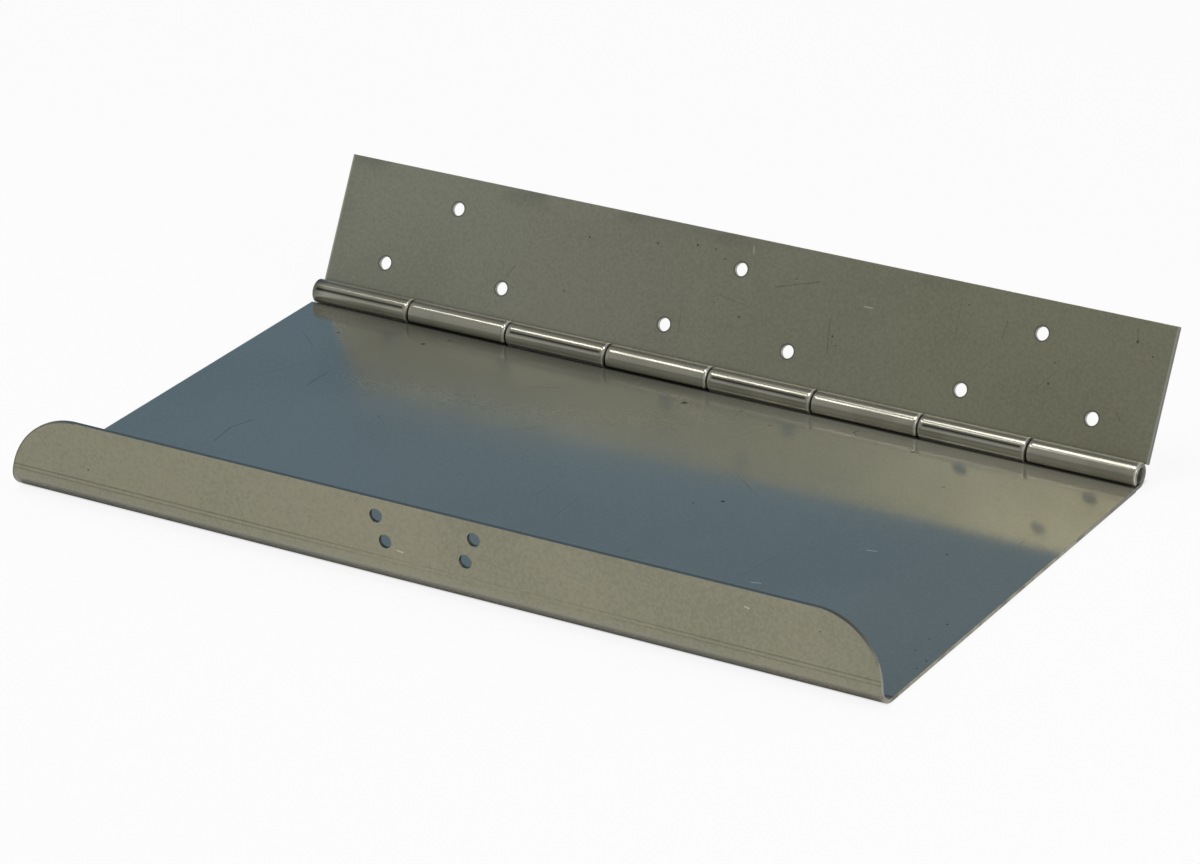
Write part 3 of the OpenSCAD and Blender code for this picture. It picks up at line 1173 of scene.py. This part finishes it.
def drawn_bar(name):
    finish = Finish(name)
    drawn = finish.noise(*BAR_LINES)
    stain = finish.rise(finish.noise(*BAR_STAINS), *STAIN_EDGES)
    roughness = (drawn + stain) * BAR_DULLNESS + BAR_ROUGHNESS
    return finish.done(finish.mix(stain, BAR_CLEAN, BAR_STAINED), roughness, drawn * BAR_HEIGHT)


hinge_pin = add_object("hinge_pin_bar", turned_pin(drawn_bar("drawn_bar")))
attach(hinge_pin, "plane")
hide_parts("hinge_pin")
print("pin", round((pin_high.x - pin_low.x) / MM, 1), "mm long")

# %% [markdown]
# ## The studio
# Bare metal has no look of its own: it shows what stands round it. The floor is overexposed white paper. It
# glows to the camera and in mirror images, but not under the part, and that dark place starts further forward
# in mirror images, which keeps the lip's foot dark. The room is dim, with brighter walls at the left and the
# right and a window's cool light behind the object. A strip lamp at the left, a broad box overhead and a box
# at the right draw the bright lines on the knuckles and the cut edges.

# %% White paper
PAPER = {"Base Color": (0.93, 0.93, 0.92, 1), "Roughness": 0.9, "Specular IOR Level": 0.1}
FLOOR_WHITE = 0.9
SHADE_MARGIN = 2 * MM
SHADE_SHIFT = -2 * MM
SHADE_BACK = hinge.y + 8 * MM
SEEN_FRONT = lip_face + 8 * MM
MIRRORED_FRONT = lip_face - 2 * MM

paper = bpy.data.materials.new("white_paper")
paper.use_nodes = True
paper_graph = Graph(paper.node_tree)
paper_shader = paper.node_tree.nodes["Principled BSDF"]
for name, setting in PAPER.items():
    paper_shader.inputs[name].default_value = setting
ray = paper_graph.node("ShaderNodeLightPath", output="Is Camera Ray")
mirrored = paper_graph.math("MINIMUM", ray.output("Is Glossy Ray") + ray.output("Is Transmission Ray"), 1.0)
white = paper_graph.node("ShaderNodeEmission", {"Color": (1, 1, 1, 1), "Strength": 1.0})
lit = Value(paper_graph, paper_shader.outputs["BSDF"])
across, along, _ = paper_graph.split(paper_graph.node("ShaderNodeTexCoord", output="Object"))


def open_floor(front):
    """0 in the shade under the part, which starts at front, and 1 beside it."""
    past_end = paper_graph.math("ABSOLUTE", across - SHADE_SHIFT) - half_width
    past_edge = paper_graph.math("MAXIMUM", front - along, along - SHADE_BACK)
    return paper_graph.rise(paper_graph.math("MAXIMUM", past_end, past_edge), -SHADE_MARGIN, SHADE_MARGIN)


glow = (ray * open_floor(SEEN_FRONT) + mirrored * open_floor(MIRRORED_FRONT)) * FLOOR_WHITE
overexposed = paper_graph.node("ShaderNodeMixShader", {0: glow, 1: lit, 2: white})
paper.node_tree.links.new(overexposed.socket, paper.node_tree.nodes["Material Output"].inputs["Surface"])
print("paper:", len(paper.node_tree.nodes), "nodes")

# %% The floor
FLOOR_RADIUS = 8.0
FLOOR_SIDES = 96
FLOOR_DROP = 0.3 * MM

floor_shape = bmesh.new()
bmesh.ops.create_circle(floor_shape, cap_ends=True, segments=FLOOR_SIDES, radius=FLOOR_RADIUS)
floor_mesh = mesh_from("studio_floor", floor_shape)
floor_mesh.transform(Matrix.Translation((0, 0, cad_low.z - FLOOR_DROP)))
floor_mesh.materials.append(paper)
floor = add_object("studio_floor", floor_mesh)
print("floor", 2 * FLOOR_RADIUS, "m across")

# %% The room
ROOM_DIM = (0.26, 0.26, 0.25, 1)
ROOM_BRIGHT = (0.58, 0.60, 0.59, 1)
ROOM_WHITE = (0.62, 0.62, 0.61, 1)
WINDOW_BLUE = (0.11, 0.26, 0.45, 1)
WINDOW_SIDE = Vector((-0.53, 0.74, 0.41)).normalized()
WINDOW_EDGES = (0.86, 0.95)
LEFT_WALL = (-0.20, -0.70)
LEFT_WALL_TOP = (0.85, 0.55)
RIGHT_WALL = (0.10, 0.60)

world = bpy.data.worlds.new("studio_room")
bpy.context.scene.world = world
world.use_nodes = True
room = Graph(world.node_tree)
towards = room.node("ShaderNodeTexCoord", output="Generated")
rightward, _, upward = room.split(towards)
left_side = room.rise(rightward, *LEFT_WALL) * room.rise(upward, *LEFT_WALL_TOP)
right_side = room.rise(rightward, *RIGHT_WALL)
window = room.rise(room.vector("DOT_PRODUCT", towards, WINDOW_SIDE, "Value"), *WINDOW_EDGES)
walls = room.mix(right_side, room.mix(left_side, ROOM_DIM, ROOM_BRIGHT), ROOM_WHITE)
surroundings = room.mix(window, walls, WINDOW_BLUE)
room.tree.links.new(surroundings.socket, world.node_tree.nodes["Background"].inputs["Color"])
print("room:", len(room.tree.nodes), "nodes")

# %% The lamps
# Each lamp has its place, its width and height in metres, and its radiance
LAMPS = {
    "strip_lamp": ((-0.88, -0.40, 1.64), 0.76, 0.26, 6.0),
    "overhead_box": ((-0.34, -0.05, 1.66), 0.80, 0.46, 6.5),
    "side_box": ((1.31, -0.24, 0.83), 0.8, 0.8, 2.5),
}


def softbox(name, place, width, height, radiance):
    """A rectangular lamp that looks at the hinge. Radiance is its brightness in a mirror."""
    lamp = bpy.data.lights.new(name, "AREA")
    lamp.shape = "RECTANGLE"
    lamp.size = width
    lamp.size_y = height
    lamp.energy = radiance * math.pi * width * height
    holder = add_object(name, lamp)
    holder.location = place
    holder.rotation_euler = (hinge - holder.location).to_track_quat("-Z", "Y").to_euler()
    holder.visible_camera = False


for lamp_name, lamp_sizes in LAMPS.items():
    softbox(lamp_name, *lamp_sizes)
print(len(LAMPS), "lamps")

# %% [markdown]
# ## Look at it as it will be seen
# The colours are written for plain display, so the view transform stays Standard.

# %% Finish
bpy.context.scene.view_settings.view_transform = "Standard"
